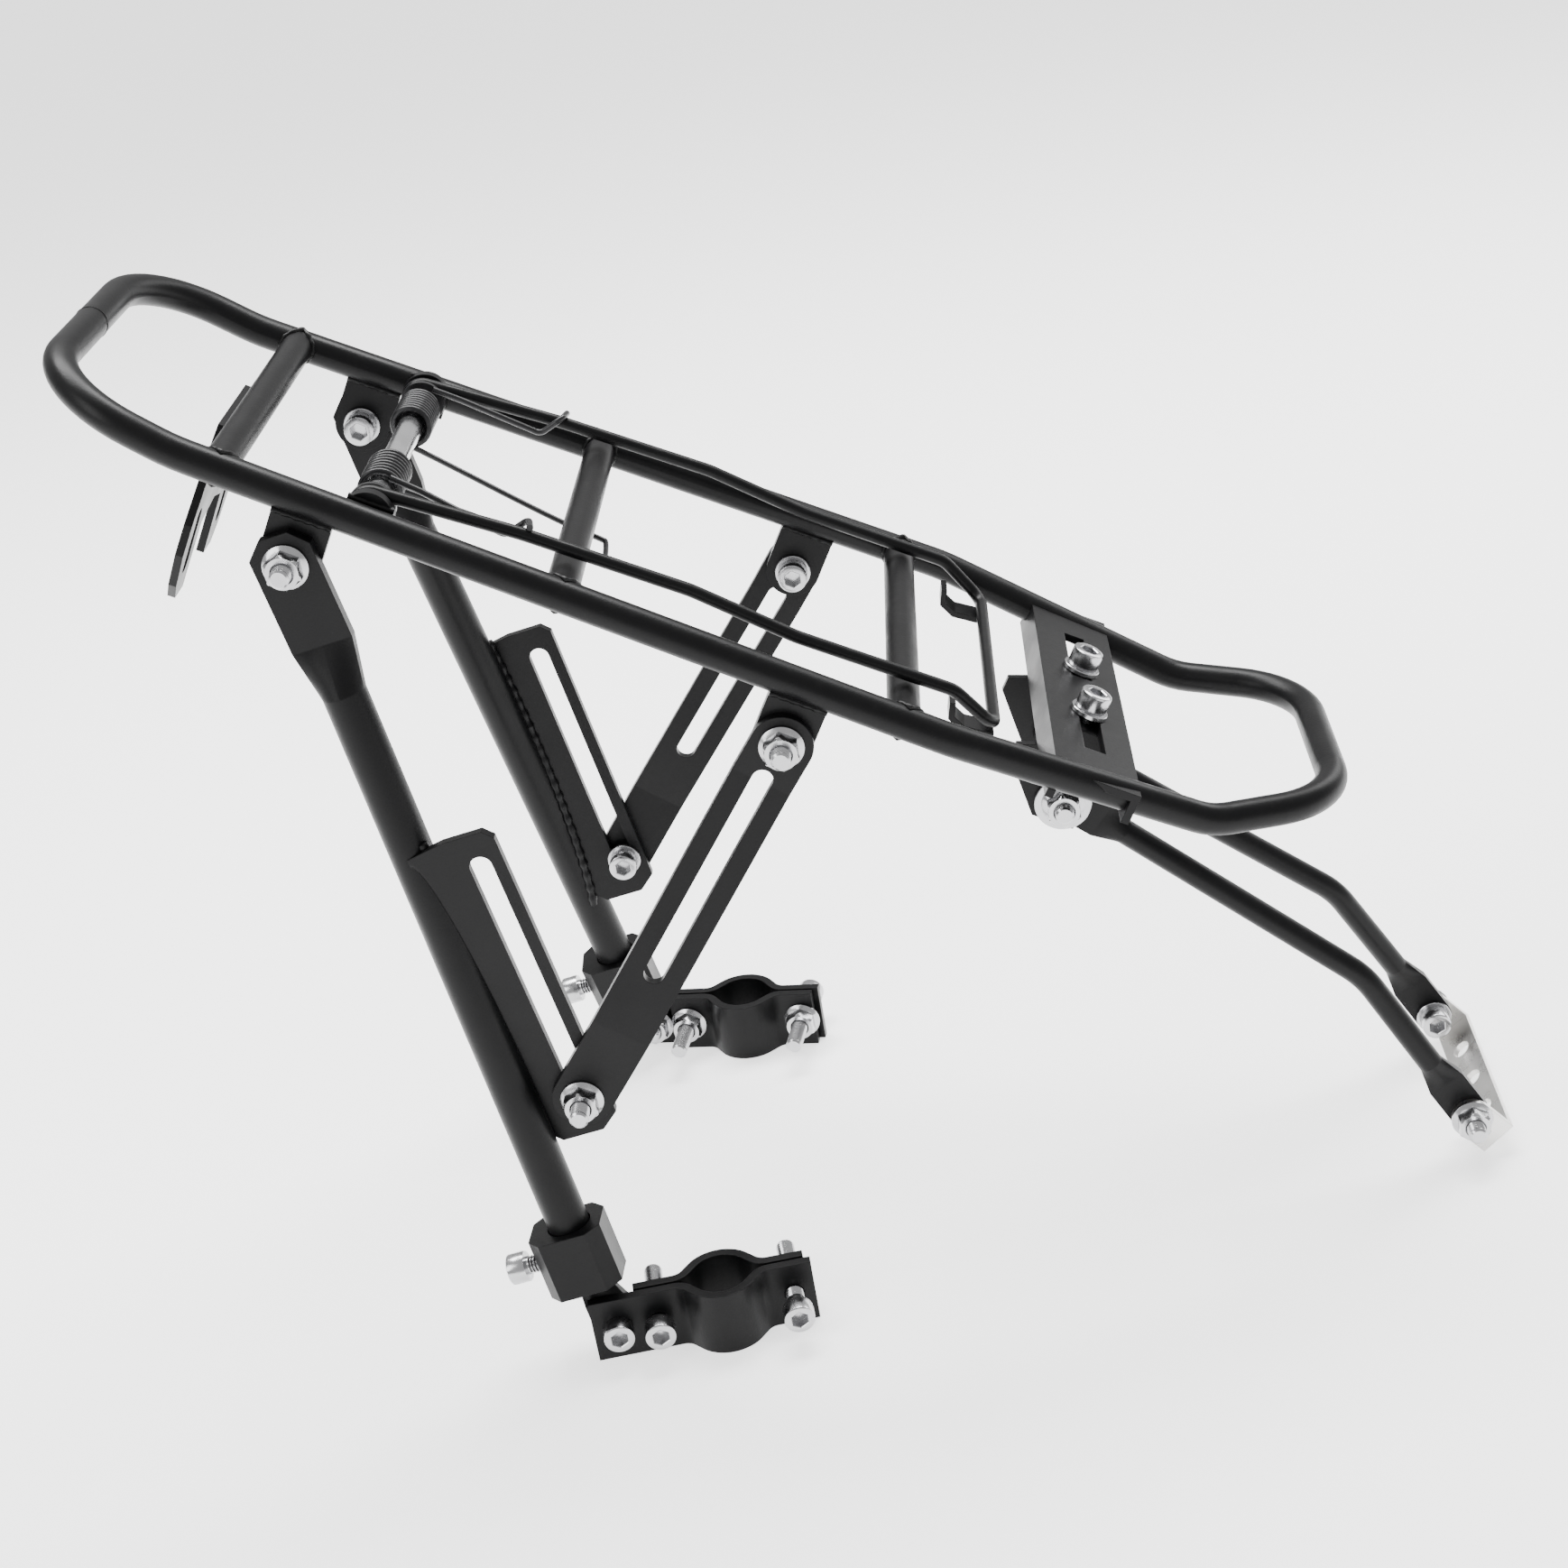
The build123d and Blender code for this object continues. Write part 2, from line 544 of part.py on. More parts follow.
def build():
    """Every piece by name, in the deck frame."""
    parts = {}
    loop = loop_tube()
    parts["loop_tube"] = loop
    for name, x in CROSS_X.items():
        parts[f"cross_tube_{name}"] = cross_tube(x, loop)
    parts["rear_lugs"] = both(lug(0, A_Y, 18, loop))
    parts["middle_lugs"] = both(lug(B_X, B_Y, 18, loop))
    parts["axle_ears"] = both(axle_ear(loop + lug(0, A_Y, 18, loop)))
    parts["reflector_bracket"] = reflector_bracket(parts["cross_tube_rear"])
    parts["front_channel"] = front_channel(loop)
    parts["angle_bracket_left"] = angle_bracket()

    slot_end = leg_point(SLOT_S[1], SLOT_LINE, 0)
    leg_out = A_Y + LUG_T + PIVOT_GAP + LEG_FLAT[1]
    brace_out = B_Y + LUG_T + PIVOT_GAP + BRACE_T
    heads = ((0, A_Y, leg_out), (B_X, B_Y, brace_out))
    screws = [
        screw((x, inner - WASHER_T, 0), (0, 1, 0), outer - inner + 12) for x, inner, outer in heads
    ]
    parts["pivot_screws"] = both(Compound(screws))
    washers = [washer((x, inner, 0), (0, -1, 0)) for x, inner, outer in heads]
    parts["pivot_washers"] = both(Compound(washers))
    nuts = [flange_nut((x, outer, 0), (0, 1, 0)) for x, inner, outer in heads]
    parts["pivot_nuts"] = both(Compound(nuts))

    x, y = CHANNEL_BOLT
    under = CHANNEL_TOP - 2 * SHEET_T
    parts["channel_screws"] = both(screw((x, y, CHANNEL_TOP + WASHER_T), (0, 0, -1), 15))
    parts["channel_washers"] = both(washer((x, y, CHANNEL_TOP), (0, 0, 1)))
    parts["channel_nuts"] = both(flange_nut((x, y, under), (0, 0, -1)))

    px, pz = STAY_PIVOT
    cheek_out = CHEEK_Y + SHEET_T
    stay_grip = cheek_out - STAY_Y[0] + 10
    parts["stay_pivot_screws"] = both(screw((px, STAY_Y[0], pz), (0, 1, 0), stay_grip))
    parts["stay_pivot_washers"] = both(washer((px, cheek_out, pz), (0, 1, 0), outer=9.0))
    parts["stay_pivot_nuts"] = both(flange_nut((px, cheek_out + WASHER_T, pz), (0, 1, 0)))

    axle_end = rail_y(AXLE_X) - TUBE_R - PIVOT_GAP
    parts["spring_axle"] = cylinder((AXLE_X, -axle_end, AXLE_Z), (0, 1, 0), AXLE_R, 2 * axle_end)
    end, length = (AXLE_X, -48.4, AXLE_Z), 96.8
    sleeve = cylinder(end, (0, 1, 0), SLEEVE_R, length)
    parts["spring_sleeve"] = sleeve - cylinder(end, (0, 1, 0), AXLE_R + 0.1, length)
    inner_face = (AXLE_X, 46.8, AXLE_Z)
    ring = cylinder(inner_face, (0, 1, 0), 7.0, WASHER_T)
    ring -= cylinder(inner_face, (0, 1, 0), SLEEVE_R + 0.1, WASHER_T)
    parts["axle_washers"] = both(ring)
    parts["torsion_spring"] = torsion_spring()

    parts["clamp_bow"] = clamp_bow()
    parts["clamp_lips"] = both(clamp_lip() - parts["clamp_bow"])
    left_arm = spring_arm(COIL_LEFT[1])
    right_arm = spring_arm(-COIL_RIGHT[0]).mirror(Plane.XZ)
    parts["spring_arms"] = Compound([*left_arm.solids(), *right_arm.solids()])

    foot = foot_frame()
    brace_face = PLATE_Y + PLATE_T + PIVOT_GAP + BRACE_T
    cx, cz = slot_end.X, slot_end.Z
    parts["leg_left"] = leg_tube()
    parts["leg_plate_left"] = leg_plate()
    parts["collar_left"] = collar()
    parts["set_screw_left"] = set_screw()
    parts["brace_left"] = brace()
    seat = PLATE_Y - PIVOT_GAP - WASHER_T
    parts["brace_screw_left"] = screw((cx, seat, cz), (0, 1, 0), brace_face - seat + 12)
    parts["brace_washer_left"] = washer((cx, PLATE_Y - PIVOT_GAP, cz), (0, -1, 0))
    parts["brace_nut_left"] = flange_nut((cx, brace_face, cz), (0, 1, 0))
    parts["foot_tube_left"] = foot_tube(foot)
    parts["clamp_strip_outer_left"] = strip(STRIP_U, 0, 1, foot, (0, *CLAMP_BOLTS_U))
    parts["clamp_strip_inner_left"] = strip(INNER_U, -STRIP_GAP, -1, foot, CLAMP_BOLTS_U)
    parts["foot_screws_left"] = foot_screws(foot)
    parts["foot_nuts_left"] = foot_nuts(foot)
    parts["stay_left"] = stay()
    for name in [name for name in parts if name.endswith("_left")]:
        parts[name.replace("_left", "_right")] = parts[name].mirror(Plane.XZ)

    ex, ez = STAY_END
    inner = STAY_Y[1]
    parts["end_screws"] = both(screw((ex, inner - WASHER_T, ez), (0, 1, 0), 18))
    parts["end_washers"] = both(washer((ex, inner, ez), (0, -1, 0)))
    parts["end_nuts"] = both(flange_nut((ex, FRONT_EAR_Y + FRONT_EAR_T, ez), (0, 1, 0)))
    parts["front_bracket"] = front_bracket()
    return parts


def stand(parts):
    """Tip the rack onto its feet and centre its box over the origin."""
    tipped = {name: Rot(0, DECK_PITCH, 0) * shape for name, shape in parts.items()}
    boxes = [shape.bounding_box() for shape in tipped.values()]
    rear, front = min(box.min.X for box in boxes), max(box.max.X for box in boxes)
    move = Pos(-(rear + front) / 2, 0, -min(box.min.Z for box in boxes))
    return {name: move * shape for name, shape in tipped.items()}, move


pieces, shift = stand(build())
os.makedirs("parts", exist_ok=True)
for node, piece in pieces.items():
    export_step(piece, f"parts/{node}.step")
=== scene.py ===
import json
import math
import random

import bmesh
import bpy
from mathutils import Matrix, Vector


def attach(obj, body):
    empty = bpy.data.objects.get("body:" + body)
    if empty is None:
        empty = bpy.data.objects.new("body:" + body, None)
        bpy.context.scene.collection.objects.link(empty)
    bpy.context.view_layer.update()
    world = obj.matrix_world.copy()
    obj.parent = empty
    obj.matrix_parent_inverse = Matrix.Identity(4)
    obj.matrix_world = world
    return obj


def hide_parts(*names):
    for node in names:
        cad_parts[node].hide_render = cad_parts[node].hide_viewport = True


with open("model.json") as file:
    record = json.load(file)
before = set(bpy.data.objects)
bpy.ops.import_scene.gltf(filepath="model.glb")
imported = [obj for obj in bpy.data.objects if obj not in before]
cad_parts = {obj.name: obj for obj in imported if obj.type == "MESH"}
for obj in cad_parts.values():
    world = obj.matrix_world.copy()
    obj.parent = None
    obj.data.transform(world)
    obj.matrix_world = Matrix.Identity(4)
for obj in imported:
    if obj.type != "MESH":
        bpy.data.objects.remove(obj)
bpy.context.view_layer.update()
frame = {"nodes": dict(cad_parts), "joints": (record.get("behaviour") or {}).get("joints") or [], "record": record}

# Frames: the deck is drawn level in millimetres and stands nose-down, so DECK takes a deck point
# in millimetres to the row frame in metres.  The foot clamps have a frame of their own, taken
# from their joints: X along the strips, Y outwards, Z up.
PITCH = math.radians(29.0)
TOE_IN = math.radians(8.5)
MM = 0.001
JOINTS = {joint["name"]: joint for joint in frame["joints"]}
leg_bolt = JOINTS["leg_left_hinge"]["pos_m"]
DECK = (
    Matrix.Translation((leg_bolt[0], 0, leg_bolt[2]))
    @ Matrix.Rotation(PITCH, 4, "Y")
    @ Matrix.Scale(MM, 4)
)
SIDES = {"left": 1, "right": -1}
NODES = frame["nodes"]


def foot_frame(side):
    """Foot clamp frame of one side; the right one is a mirror image of the left one."""
    sign = SIDES[side]
    along = Vector((math.cos(TOE_IN), -sign * math.sin(TOE_IN), 0))
    outwards = Vector((math.sin(TOE_IN), sign * math.cos(TOE_IN), 0))
    turn = Matrix((along, outwards, (0, 0, 1))).transposed().to_4x4()
    place = Matrix.Translation(JOINTS[f"foot_clamp_{side}_hinge"]["pos_m"])
    return place @ turn @ Matrix.Scale(MM, 4)


FEET = {side: foot_frame(side) for side in SIDES}


# Shared shader effects: one group gives coarse and fine mottling, the other the dust that
# settles on faces that look up.  Both work on Object coordinates and give plain values.
def mottle_group():
    tree = bpy.data.node_groups.new("mottle", "ShaderNodeTree")
    tree.interface.new_socket("Coarse scale", in_out="INPUT", socket_type="NodeSocketFloat")
    tree.interface.new_socket("Fine scale", in_out="INPUT", socket_type="NodeSocketFloat")
    tree.interface.new_socket("Coarse", in_out="OUTPUT", socket_type="NodeSocketFloat")
    tree.interface.new_socket("Fine", in_out="OUTPUT", socket_type="NodeSocketFloat")
    start, end = tree.nodes.new("NodeGroupInput"), tree.nodes.new("NodeGroupOutput")
    place = tree.nodes.new("ShaderNodeTexCoord")
    for index, (scale, detail) in enumerate((("Coarse scale", 4.0), ("Fine scale", 2.0))):
        noise = tree.nodes.new("ShaderNodeTexNoise")
        noise.inputs["Detail"].default_value = detail
        tree.links.new(place.outputs["Object"], noise.inputs["Vector"])
        tree.links.new(start.outputs[scale], noise.inputs["Scale"])
        tree.links.new(noise.outputs["Fac"], end.inputs[index])
    return tree


def dust_group():
    tree = bpy.data.node_groups.new("dust", "ShaderNodeTree")
    tree.interface.new_socket("Dust", in_out="OUTPUT", socket_type="NodeSocketFloat")
    end = tree.nodes.new("NodeGroupOutput")
    geometry = tree.nodes.new("ShaderNodeNewGeometry")
    split = tree.nodes.new("ShaderNodeSeparateXYZ")
    place, noise = tree.nodes.new("ShaderNodeTexCoord"), tree.nodes.new("ShaderNodeTexNoise")
    upward, patches = tree.nodes.new("ShaderNodeMapRange"), tree.nodes.new("ShaderNodeMapRange")
    product = tree.nodes.new("ShaderNodeMath")
    product.operation = "MULTIPLY"
    noise.inputs["Scale"].default_value = 320.0
    noise.inputs["Detail"].default_value = 6.0
    upward.inputs["From Min"].default_value = 0.2
    patches.inputs["From Min"].default_value = 0.52
    patches.inputs["From Max"].default_value = 0.78
    tree.links.new(geometry.outputs["Normal"], split.inputs["Vector"])
    tree.links.new(split.outputs["Z"], upward.inputs["Value"])
    tree.links.new(place.outputs["Object"], noise.inputs["Vector"])
    tree.links.new(noise.outputs["Fac"], patches.inputs["Value"])
    tree.links.new(upward.outputs["Result"], product.inputs[0])
    tree.links.new(patches.outputs["Result"], product.inputs[1])
    tree.links.new(product.outputs["Value"], end.inputs["Dust"])
    return tree


MOTTLE, DUST = mottle_group(), dust_group()


# Materials: satin powder coat, zinc plate, stainless sheet, bright tube, blackened spring wire.
# Each has mottled roughness, a fine bump, soft edges and a little dust.
def finish_material(
    name, color, metallic, roughness, coarse, fine, bump, dusty, grain=(1, 1, 1), edge=0.0004
):
    """roughness is (lowest, highest); bump and edge are metres; grain stretches the mottling."""
    material = bpy.data.materials.new(name)
    material.use_nodes = True
    nodes, links = material.node_tree.nodes, material.node_tree.links
    shader = nodes["Principled BSDF"]
    shader.inputs["Metallic"].default_value = metallic
    mottle, dust = nodes.new("ShaderNodeGroup"), nodes.new("ShaderNodeGroup")
    mottle.node_tree, dust.node_tree = MOTTLE, DUST
    mottle.inputs["Coarse scale"].default_value = coarse
    mottle.inputs["Fine scale"].default_value = fine
    spread = nodes.new("ShaderNodeMapRange")
    spread.inputs["From Min"].default_value = 0.3
    spread.inputs["From Max"].default_value = 0.7
    spread.inputs["To Min"].default_value, spread.inputs["To Max"].default_value = roughness
    links.new(mottle.outputs["Coarse"], spread.inputs["Value"])
    links.new(spread.outputs["Result"], shader.inputs["Roughness"])
    weaken = nodes.new("ShaderNodeMath")
    weaken.operation = "MULTIPLY"
    weaken.inputs[1].default_value = dusty
    links.new(dust.outputs["Dust"], weaken.inputs[0])
    mix = nodes.new("ShaderNodeMix")
    mix.data_type = "RGBA"
    mix.inputs["A"].default_value = (*color, 1)
    mix.inputs["B"].default_value = (0.32, 0.31, 0.29, 1)
    links.new(weaken.outputs["Value"], mix.inputs["Factor"])
    links.new(mix.outputs["Result"], shader.inputs["Base Color"])
    rounding, relief = nodes.new("ShaderNodeBevel"), nodes.new("ShaderNodeBump")
    rounding.samples = 4
    rounding.inputs["Radius"].default_value = edge
    relief.inputs["Strength"].default_value = 0.5
    relief.inputs["Distance"].default_value = bump
    links.new(mottle.outputs["Fine"], relief.inputs["Height"])
    links.new(rounding.outputs["Normal"], relief.inputs["Normal"])
    links.new(relief.outputs["Normal"], shader.inputs["Normal"])
    if grain != (1, 1, 1):
        place, stretch = nodes.new("ShaderNodeTexCoord"), nodes.new("ShaderNodeMapping")
        lines = nodes.new("ShaderNodeTexNoise")
        stretch.inputs["Scale"].default_value = grain
        lines.inputs["Scale"].default_value = fine
        links.new(place.outputs["Object"], stretch.inputs["Vector"])
        links.new(stretch.outputs["Vector"], lines.inputs["Vector"])
        links.new(lines.outputs["Fac"], relief.inputs["Height"])
    return material


COAT = finish_material(
    "powder_coat", (0.0035, 0.0035, 0.0038), 0.0, (0.30, 0.42), 60, 1500, 7e-5, 0.012
)
COAT.node_tree.nodes["Principled BSDF"].inputs["Specular IOR Level"].default_value = 0.15
ZINC = finish_material(
    "zinc_plate", (0.46, 0.46, 0.47), 1.0, (0.16, 0.30), 260, 2600, 2e-5, 0.02, edge=0.0001
)
STAINLESS = finish_material(
    "stainless", (0.66, 0.65, 0.63), 1.0, (0.22, 0.36), 120, 900, 3e-5, 0.02, grain=(1, 0.03, 1)
)
BRIGHT = finish_material(
    "bright_tube", (0.72, 0.72, 0.73), 1.0, (0.14, 0.26), 150, 2000, 1e-5, 0.02
)
SPRING = finish_material(
    "spring_wire", (0.018, 0.018, 0.019), 0.5, (0.24, 0.36), 200, 2200, 1e-5, 0.01, edge=0.00005
)
SLOT_MATERIALS = {
    "black_coat": COAT, "zinc_hardware": ZINC, "bright_steel": BRIGHT, "spring_steel": SPRING,
}
for part in frame["record"]["subparts"]:
    NODES[part["node"]].data.materials.clear()
    NODES[part["node"]].data.materials.append(SLOT_MATERIALS[part["material_slot"]])
NODES["front_bracket"].data.materials[0] = STAINLESS
NODES["axle_washers"].data.materials[0] = SPRING


# Turned pieces: every screw, nut and washer is a stack of rings, round, knurled or six-sided,
# joined into one mesh for each CAD node that it replaces.
RING_STEPS = 48
KNURL_DEPTH = 0.14
SHARP_ANGLE = math.radians(32)


def aim(place, base, direction):
    """Local Z of a turned piece, in millimetres, to direction from base in the frame place."""
    axis = (place.to_3x3() @ Vector(direction)).normalized()
    turn = axis.to_track_quat("Z", "Y").to_matrix().to_4x4()
    return Matrix.Translation(place @ Vector(base)) @ turn @ Matrix.Scale(MM, 4)


def ring_radius(shape, size, step):
    angle = 2 * math.pi * step / RING_STEPS
    if shape == "hex":
        return size / math.cos((angle + math.pi / 6) % (math.pi / 3) - math.pi / 6)
    if shape == "knurl" and step % 2:
        return size - KNURL_DEPTH
    return size


def turned(mesh, rings, matrix, hollow=False):
    """Adds (shape, radius, height) rings; a hollow stack joins its last ring to its first."""
    loops = []
    for shape, size, height in rings:
        loop = []
        for step in range(RING_STEPS):
            angle = 2 * math.pi * step / RING_STEPS
            radius = ring_radius(shape, size, step)
            point = Vector((radius * math.cos(angle), radius * math.sin(angle), height))
            loop.append(mesh.verts.new(matrix @ point))
        loops.append(loop)
    pairs = list(zip(loops, loops[1:]))
    if hollow:
        pairs.append((loops[-1], loops[0]))
    else:
        mesh.faces.new(loops[0])
        mesh.faces.new(loops[-1])
    for low, high in pairs:
        for step in range(RING_STEPS):
            after = (step + 1) % RING_STEPS
            mesh.faces.new((low[step], low[after], high[after], high[step]))


def piece(name, mesh, material, slot, body, *replaced):
    """Closes a mesh as a named piece on a body, smooth but for its sharp edges."""
    bmesh.ops.recalc_face_normals(mesh, faces=mesh.faces)
    for face in mesh.faces:
        face.smooth = True
    for edge in mesh.edges:
        edge.smooth = len(edge.link_faces) != 2 or edge.calc_face_angle() < SHARP_ANGLE
    data = bpy.data.meshes.new(name)
    mesh.to_mesh(data)
    mesh.free()
    data.materials.append(material)
    obj = bpy.data.objects.new(name, data)
    bpy.context.scene.collection.objects.link(obj)
    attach(obj, body)
    if replaced:
        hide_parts(*replaced)
    return obj


SCREW_R, THREAD_DEPTH, THREAD_PITCH = 2.95, 0.42, 1.0
POINT_H, POINT_R = 0.6, 2.3
WASHER_T = 1.6


def add_screw(mesh, matrix, grip, thread):
    """Socket-head screw: the head stands on height 0 and the shank runs up to grip."""
    rings = [
        ("hex", 2.5, -2.8), ("hex", 2.5, -5.75), ("hex", 2.75, -6.0), ("round", 4.35, -6.0),
        ("round", 4.85, -5.7), ("knurl", 5.0, -5.3), ("knurl", 5.0, -0.4), ("round", 4.8, -0.15),
        ("round", 4.8, 0.0), ("round", SCREW_R, 0.0),
    ]
    height = grip - thread
    while height + THREAD_PITCH < grip - POINT_H:
        rings.append(("round", SCREW_R, height))
        rings.append(("round", SCREW_R - THREAD_DEPTH, height + THREAD_PITCH / 2))
        height += THREAD_PITCH
    rings += [
        ("round", SCREW_R, height), ("round", SCREW_R, grip - POINT_H), ("round", POINT_R, grip),
    ]
    turned(mesh, rings, matrix)


def add_nut(mesh, matrix):
    rings = [
        ("round", 3.0, 0.0), ("round", 6.6, 0.0), ("round", 6.8, 0.25), ("round", 6.8, 0.8),
        ("round", 5.9, 1.45), ("hex", 5.0, 1.7), ("hex", 5.0, 5.2), ("round", 4.9, 6.0),
        ("round", 3.5, 6.0), ("round", 3.0, 5.6),
    ]
    turned(mesh, rings, matrix, hollow=True)


def add_washer(mesh, matrix, outer=6.0):
    inner, edge = 3.2, 0.2
    rings = [
        ("round", inner, 0.0), ("round", outer - edge, 0.0), ("round", outer, edge),
        ("round", outer, WASHER_T - edge), ("round", outer - edge, WASHER_T),
        ("round", inner + edge, WASHER_T), ("round", inner, WASHER_T - edge),
    ]
    turned(mesh, rings, matrix, hollow=True)


def hardware(name, body, add, spots):
    """One piece that replaces a CAD node; spots are (frame, base, direction, extra sizes...)."""
    mesh = bmesh.new()
    for place, base, direction, *sizes in spots:
        add(mesh, aim(place, base, direction), *sizes)
    return piece(f"{name}_turned", mesh, ZINC, "zinc_hardware", body, name)


def mirrored(spots):
    """Deck spots of the left side and the same ones on the right side."""
    result = []
    for base, direction, *sizes in spots:
        for sign in SIDES.values():
            flip = Vector((1, sign, 1))
            result.append((DECK, Vector(base) * flip, Vector(direction) * flip, *sizes))
    return result


# Leg bolts and brace bolts: M6 screws from inside the rails, flange nuts outside.
# The four of each share one CAD node.
A_IN, A_OUT = 59.3, 67.4
B_X, B_IN, B_OUT = 151.6, 65.5, 72.6
OUT, IN, DOWN, UP = (0, 1, 0), (0, -1, 0), (0, 0, -1), (0, 0, 1)
hardware("pivot_screws", "rack", add_screw, mirrored([
    ((0, A_IN - WASHER_T, 0), OUT, A_OUT - A_IN + 12, 12),
    ((B_X, B_IN - WASHER_T, 0), OUT, B_OUT - B_IN + 12, 12),
]))
hardware("pivot_washers", "rack", add_washer, mirrored([((0, A_IN, 0), IN), ((B_X, B_IN, 0), IN)]))
hardware("pivot_nuts", "rack", add_nut, mirrored([((0, A_OUT, 0), OUT), ((B_X, B_OUT, 0), OUT)]))

# Channel bolts: from above through the cross slots of the channel into the angle brackets.
# Stay bolts: from inside through stay and cheek, with a wide washer under the nut.
CHANNEL_X, CHANNEL_Y, CHANNEL_TOP, SHEET = 245.0, 16.6, 20.0, 2.5
STAY_X, STAY_Z, STAY_IN, CHEEK_OUT = 247.3, -7.3, 20.3, 26.5
bolt = (CHANNEL_X, CHANNEL_Y)
hardware("channel_screws", "rack", add_screw, mirrored([
    ((*bolt, CHANNEL_TOP + WASHER_T), DOWN, 15, 12),
]))
hardware("channel_washers", "rack", add_washer, mirrored([((*bolt, CHANNEL_TOP), UP)]))
hardware("channel_nuts", "rack", add_nut, mirrored([((*bolt, CHANNEL_TOP - 2 * SHEET), DOWN)]))
hardware("stay_pivot_screws", "rack", add_screw, mirrored([
    ((STAY_X, STAY_IN, STAY_Z), OUT, CHEEK_OUT - STAY_IN + 10, 12),
]))
hardware("stay_pivot_washers", "rack", add_washer, mirrored([
    ((STAY_X, CHEEK_OUT, STAY_Z), OUT, 9.0),
]))
hardware("stay_pivot_nuts", "rack", add_nut, mirrored([
    ((STAY_X, CHEEK_OUT + WASHER_T, STAY_Z), OUT),
]))

# Front bracket bolts: through the flat end of each stay and the ear of the bracket.
# They turn with the stays.
END_X, END_Z, END_IN, EAR_OUT = 416.4, -62.5, 29.4, 35.0
hardware("end_screws", "stays", add_screw, mirrored([
    ((END_X, END_IN - WASHER_T, END_Z), OUT, 18, 13),
]))
hardware("end_washers", "stays", add_washer, mirrored([((END_X, END_IN, END_Z), IN)]))
hardware("end_nuts", "stays", add_nut, mirrored([((END_X, EAR_OUT, END_Z), OUT)]))

# Brace bolts in the slots of the leg plates, collar set screws, and foot clamp bolts.
# Each side has its own CAD nodes, so this runs once for each side.
LEG_DOWN = math.radians(50.4)
LEG_DIR = Vector((math.cos(LEG_DOWN), 0, -math.sin(LEG_DOWN)))
LEG_NORMAL = Vector((math.sin(LEG_DOWN), 0, math.cos(LEG_DOWN)))
LEG_Y, SPLAY_FROM, SPLAY_RISE = 65.4, 26.0, math.tan(math.radians(5.5))
PLATE_IN, BRACE_OUT = 76.0, 82.1
PIVOT_GAP = 0.1
SLOT_END = (187.3, 20.1)
COLLAR_MID, SET_SCREW_BACK = 238.5, -18.0
STRIP_T, STRIP_GAP, TAB_FACE = 3.0, 1.0, -4.2
FOOT_BOLTS = ((0.0, 0.0, 16.0), (13.1, 3.0, 30.0), (57.2, 8.0, 34.0))


def leg_point(s, t, y):
    """Deck point s down the leg, t in front of it."""
    point = LEG_DIR * s + LEG_NORMAL * t
    return Vector((point.x, y, point.z))


def leg_axis_y(s):
    return LEG_Y + max(0, s - SPLAY_FROM) * SPLAY_RISE


for side, sign in SIDES.items():
    flip = Vector((1, sign, 1))
    seat = leg_point(*SLOT_END, PLATE_IN - PIVOT_GAP - WASHER_T) * flip
    plate = leg_point(*SLOT_END, PLATE_IN - PIVOT_GAP) * flip
    nut = leg_point(*SLOT_END, BRACE_OUT) * flip
    outwards, inwards = Vector(OUT) * flip, Vector(IN) * flip
    brace, leg, clamp = f"brace_assembly_{side}", f"leg_assembly_{side}", f"foot_clamp_{side}"
    hardware(f"brace_screw_{side}", brace, add_screw, [
        (DECK, seat, outwards, BRACE_OUT - PLATE_IN + 13.7, 14),
    ])
    hardware(f"brace_washer_{side}", brace, add_washer, [(DECK, plate, inwards)])
    hardware(f"brace_nut_{side}", brace, add_nut, [(DECK, nut, outwards)])
    behind = leg_point(COLLAR_MID, SET_SCREW_BACK, leg_axis_y(COLLAR_MID)) * flip
    hardware(f"set_screw_{side}", leg, add_screw, [(DECK, behind, LEG_NORMAL, 11, 10)])
    foot = FEET[side]
    hardware(f"foot_screws_{side}", clamp, add_screw, [
        (foot, (u, STRIP_T + stand_off, 0), IN, grip, grip - 4) for u, stand_off, grip in FOOT_BOLTS
    ])
    inner = -STRIP_GAP - STRIP_T
    hardware(f"foot_nuts_{side}", clamp, add_nut, [
        (foot, (u, inner if u else TAB_FACE, 0), IN) for u, _, _ in FOOT_BOLTS
    ])


# Wire pieces: a round section swept along points, with its radius free to vary, for the
# spring coils and the weld beads.
WIRE_SIDES = 14
CORNER_PASSES = 4


def rounded(points):
    """The same route with its corners cut smooth."""
    for _ in range(CORNER_PASSES):
        cut = [points[0]]
        for first, second in zip(points, points[1:]):
            cut += [first.lerp(second, 0.25), first.lerp(second, 0.75)]
        points = cut + [points[-1]]
    return points


def add_wire(mesh, points, radii):
    """Sweeps a circle along deck points; radii is one radius or one for each point."""
    if not isinstance(radii, list):
        radii = [radii] * len(points)
    side = None
    loops = []
    for index, point in enumerate(points):
        before, after = points[max(index - 1, 0)], points[min(index + 1, len(points) - 1)]
        along = (after - before).normalized()
        side = along.orthogonal() if side is None else side - along * side.dot(along)
        side.normalize()
        across = along.cross(side)
        loop = []
        for step in range(WIRE_SIDES):
            angle = 2 * math.pi * step / WIRE_SIDES
            offset = side * math.cos(angle) + across * math.sin(angle)
            loop.append(mesh.verts.new(DECK @ (point + offset * radii[index])))
        loops.append(loop)
    mesh.faces.new(loops[0])
    mesh.faces.new(loops[-1])
    for low, high in zip(loops, loops[1:]):
        for step in range(WIRE_SIDES):
            after = (step + 1) % WIRE_SIDES
            mesh.faces.new((low[step], low[after], high[after], high[step]))


